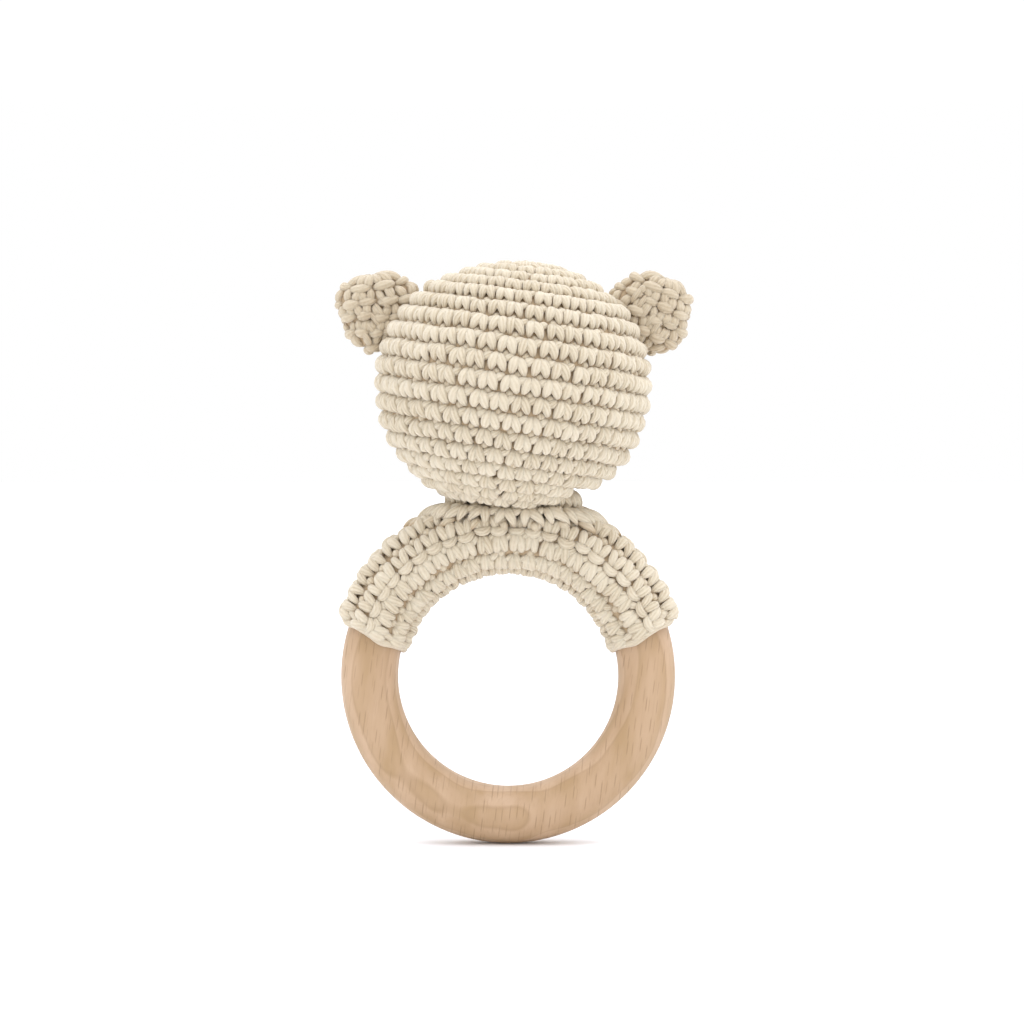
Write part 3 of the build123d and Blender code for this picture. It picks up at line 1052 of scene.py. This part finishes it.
def build_sleeve():
    for index, piece in enumerate(knit_sleeve(cream)):
        dress(piece, "sleeve", "cream_crochet", *(("ring_sleeve",) if index == 0 else ()))
    dress(sleeve_ground(painted_shade_cloth), "sleeve", "cream_crochet")
    dress(seam_stitches(cream), "sleeve", "cream_yarn", "sleeve_seam_yarn")


def build_neck():
    neck = dress(knit_neck(cream), None, "cream_crochet", "neck_collar")
    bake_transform(neck)


def build_ears():
    for side in (-1, 1):
        ear = Ear(side)
        crochet = dress(ear.knit(shaded_cream), None, "cream_crochet", ear.body)
        ground = dress(ear.ground(painted_shade_cloth), None, "cream_crochet")
        sewing = dress(ear.whip_stitches(shaded_cream), None, "cream_yarn", ear.body + "_yarn")
        for piece in (crochet, ground, sewing):
            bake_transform(piece)


def paint_cad_parts():
    """The CAD parts that stay get their real materials."""
    box = plastic_material("box_plastic", (0.78, 0.79, 0.77), (0.70, 0.71, 0.69), 700, 0.5)
    pellet = plastic_material("pellet_plastic", (0.88, 0.86, 0.80), (0.80, 0.78, 0.72), 1500, 0.3)
    paints = {"wooden_ring": beech_material(), "rattle_shell_upper": box, "rattle_shell_lower": box}
    for number in range(1, 6):
        paints[f"pellet_{number}"] = pellet
    for name, material in paints.items():
        mesh = bpy.data.objects[name].data
        if not mesh.materials:
            mesh.materials.append(material)
        for index in range(len(mesh.materials)):
            mesh.materials[index] = material


build_head()
build_sleeve()
build_neck()
build_ears()
paint_cad_parts()


# ---------------------------------------------------------------- stage

CAMERA_DISTANCE = 620.0
CAMERA_LIFT = radians(2)
FRAME_WIDTH = 214.0      # how wide the picture is at the object
AIM = np.array([0.8, 0, 34.4])
ZENITH = 2.25            # brightness of the room overhead; the horizon is 1
OVERHEAD_TINT = (0.94, 0.98, 1.09)
DIM_BEHIND_CAMERA = 0.4


def look_at(thing, place, aim):
    thing.location = Vector(place) * MM
    thing.rotation_euler = (Vector(aim) - Vector(place)).to_track_quat("-Z", "Y").to_euler()


def area_light(name, place, aim, size, power):
    lamp = bpy.data.lights.new(name, "AREA")
    lamp.shape = "DISK"
    lamp.size = size * MM
    lamp.energy = power
    thing = bpy.data.objects.new(name, lamp)
    bpy.context.scene.collection.objects.link(thing)
    look_at(thing, place, aim)


def floor_material():
    shader = Shader("pale_floor")
    speckle = shader.noise(shader.place(), 4)
    colour = shader.ramp(speckle, ((0.3, (0.93, 0.93, 0.93)), (0.7, (0.95, 0.95, 0.95))))
    return shader.finish(colour, speckle, 0.0, 0.9)


def floor():
    size = 3000
    low = float(RING_LOW[2])
    corners = [(-size, -size, low), (size, -size, low), (size, size, low), (-size, size, low)]
    mesh = bpy.data.meshes.new("floor")
    mesh.from_pydata([tuple(c * MM for c in corner) for corner in corners], [], [(0, 1, 2, 3)])
    new_object("floor", mesh, floor_material())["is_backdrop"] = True


def studio():
    """A white room, brighter overhead and a little dimmer behind the camera, and one weak lamp."""
    white = (1, 1, 1, 1)
    world = bpy.data.worlds.new("studio")
    bpy.context.scene.world = world
    sky = Nodes(world)
    background = sky.nodes["Background"]
    coordinates = sky.nodes.new("ShaderNodeTexCoord")
    _, y, z = sky.parts(coordinates.outputs["Generated"])
    behind, high = sky.spread(y, -1.0, -0.1, 1.0, 0.0), sky.spread(z, 0.2, 0.4, 0.0, DIM_BEHIND_CAMERA)
    dimming = sky.maths("MULTIPLY", behind, high)
    strength = sky.maths("SUBTRACT", sky.spread(z, 0.1, 1.0, 1.0, ZENITH), dimming)
    sky.link(strength, background.inputs["Strength"])
    tint = sky.mixed(sky.spread(z, 0.2, 0.9), white, OVERHEAD_TINT)
    sky.link(tint, background.inputs["Color"])
    area_light("key", place=(180, -220, 650), aim=(0, 0, 40), size=320, power=0.7)


def camera():
    lens = bpy.data.cameras.new("camera")
    lens.sensor_width = 36
    lens.lens = lens.sensor_width * CAMERA_DISTANCE / FRAME_WIDTH
    lens.clip_start = 0.01
    lens.clip_end = 20
    thing = bpy.data.objects.new("camera", lens)
    bpy.context.scene.collection.objects.link(thing)
    look_at(thing, AIM + CAMERA_DISTANCE * np.array([0, -cos(CAMERA_LIFT), sin(CAMERA_LIFT)]), AIM)
    bpy.context.scene.camera = thing


bpy.context.scene.view_settings.view_transform = "Standard"
floor()
studio()
camera()


def corners(box):
    return [list(map(float, corner)) for corner in box]


visual_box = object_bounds()
{"cad": corners(cad_box), "visual": corners(visual_box)}
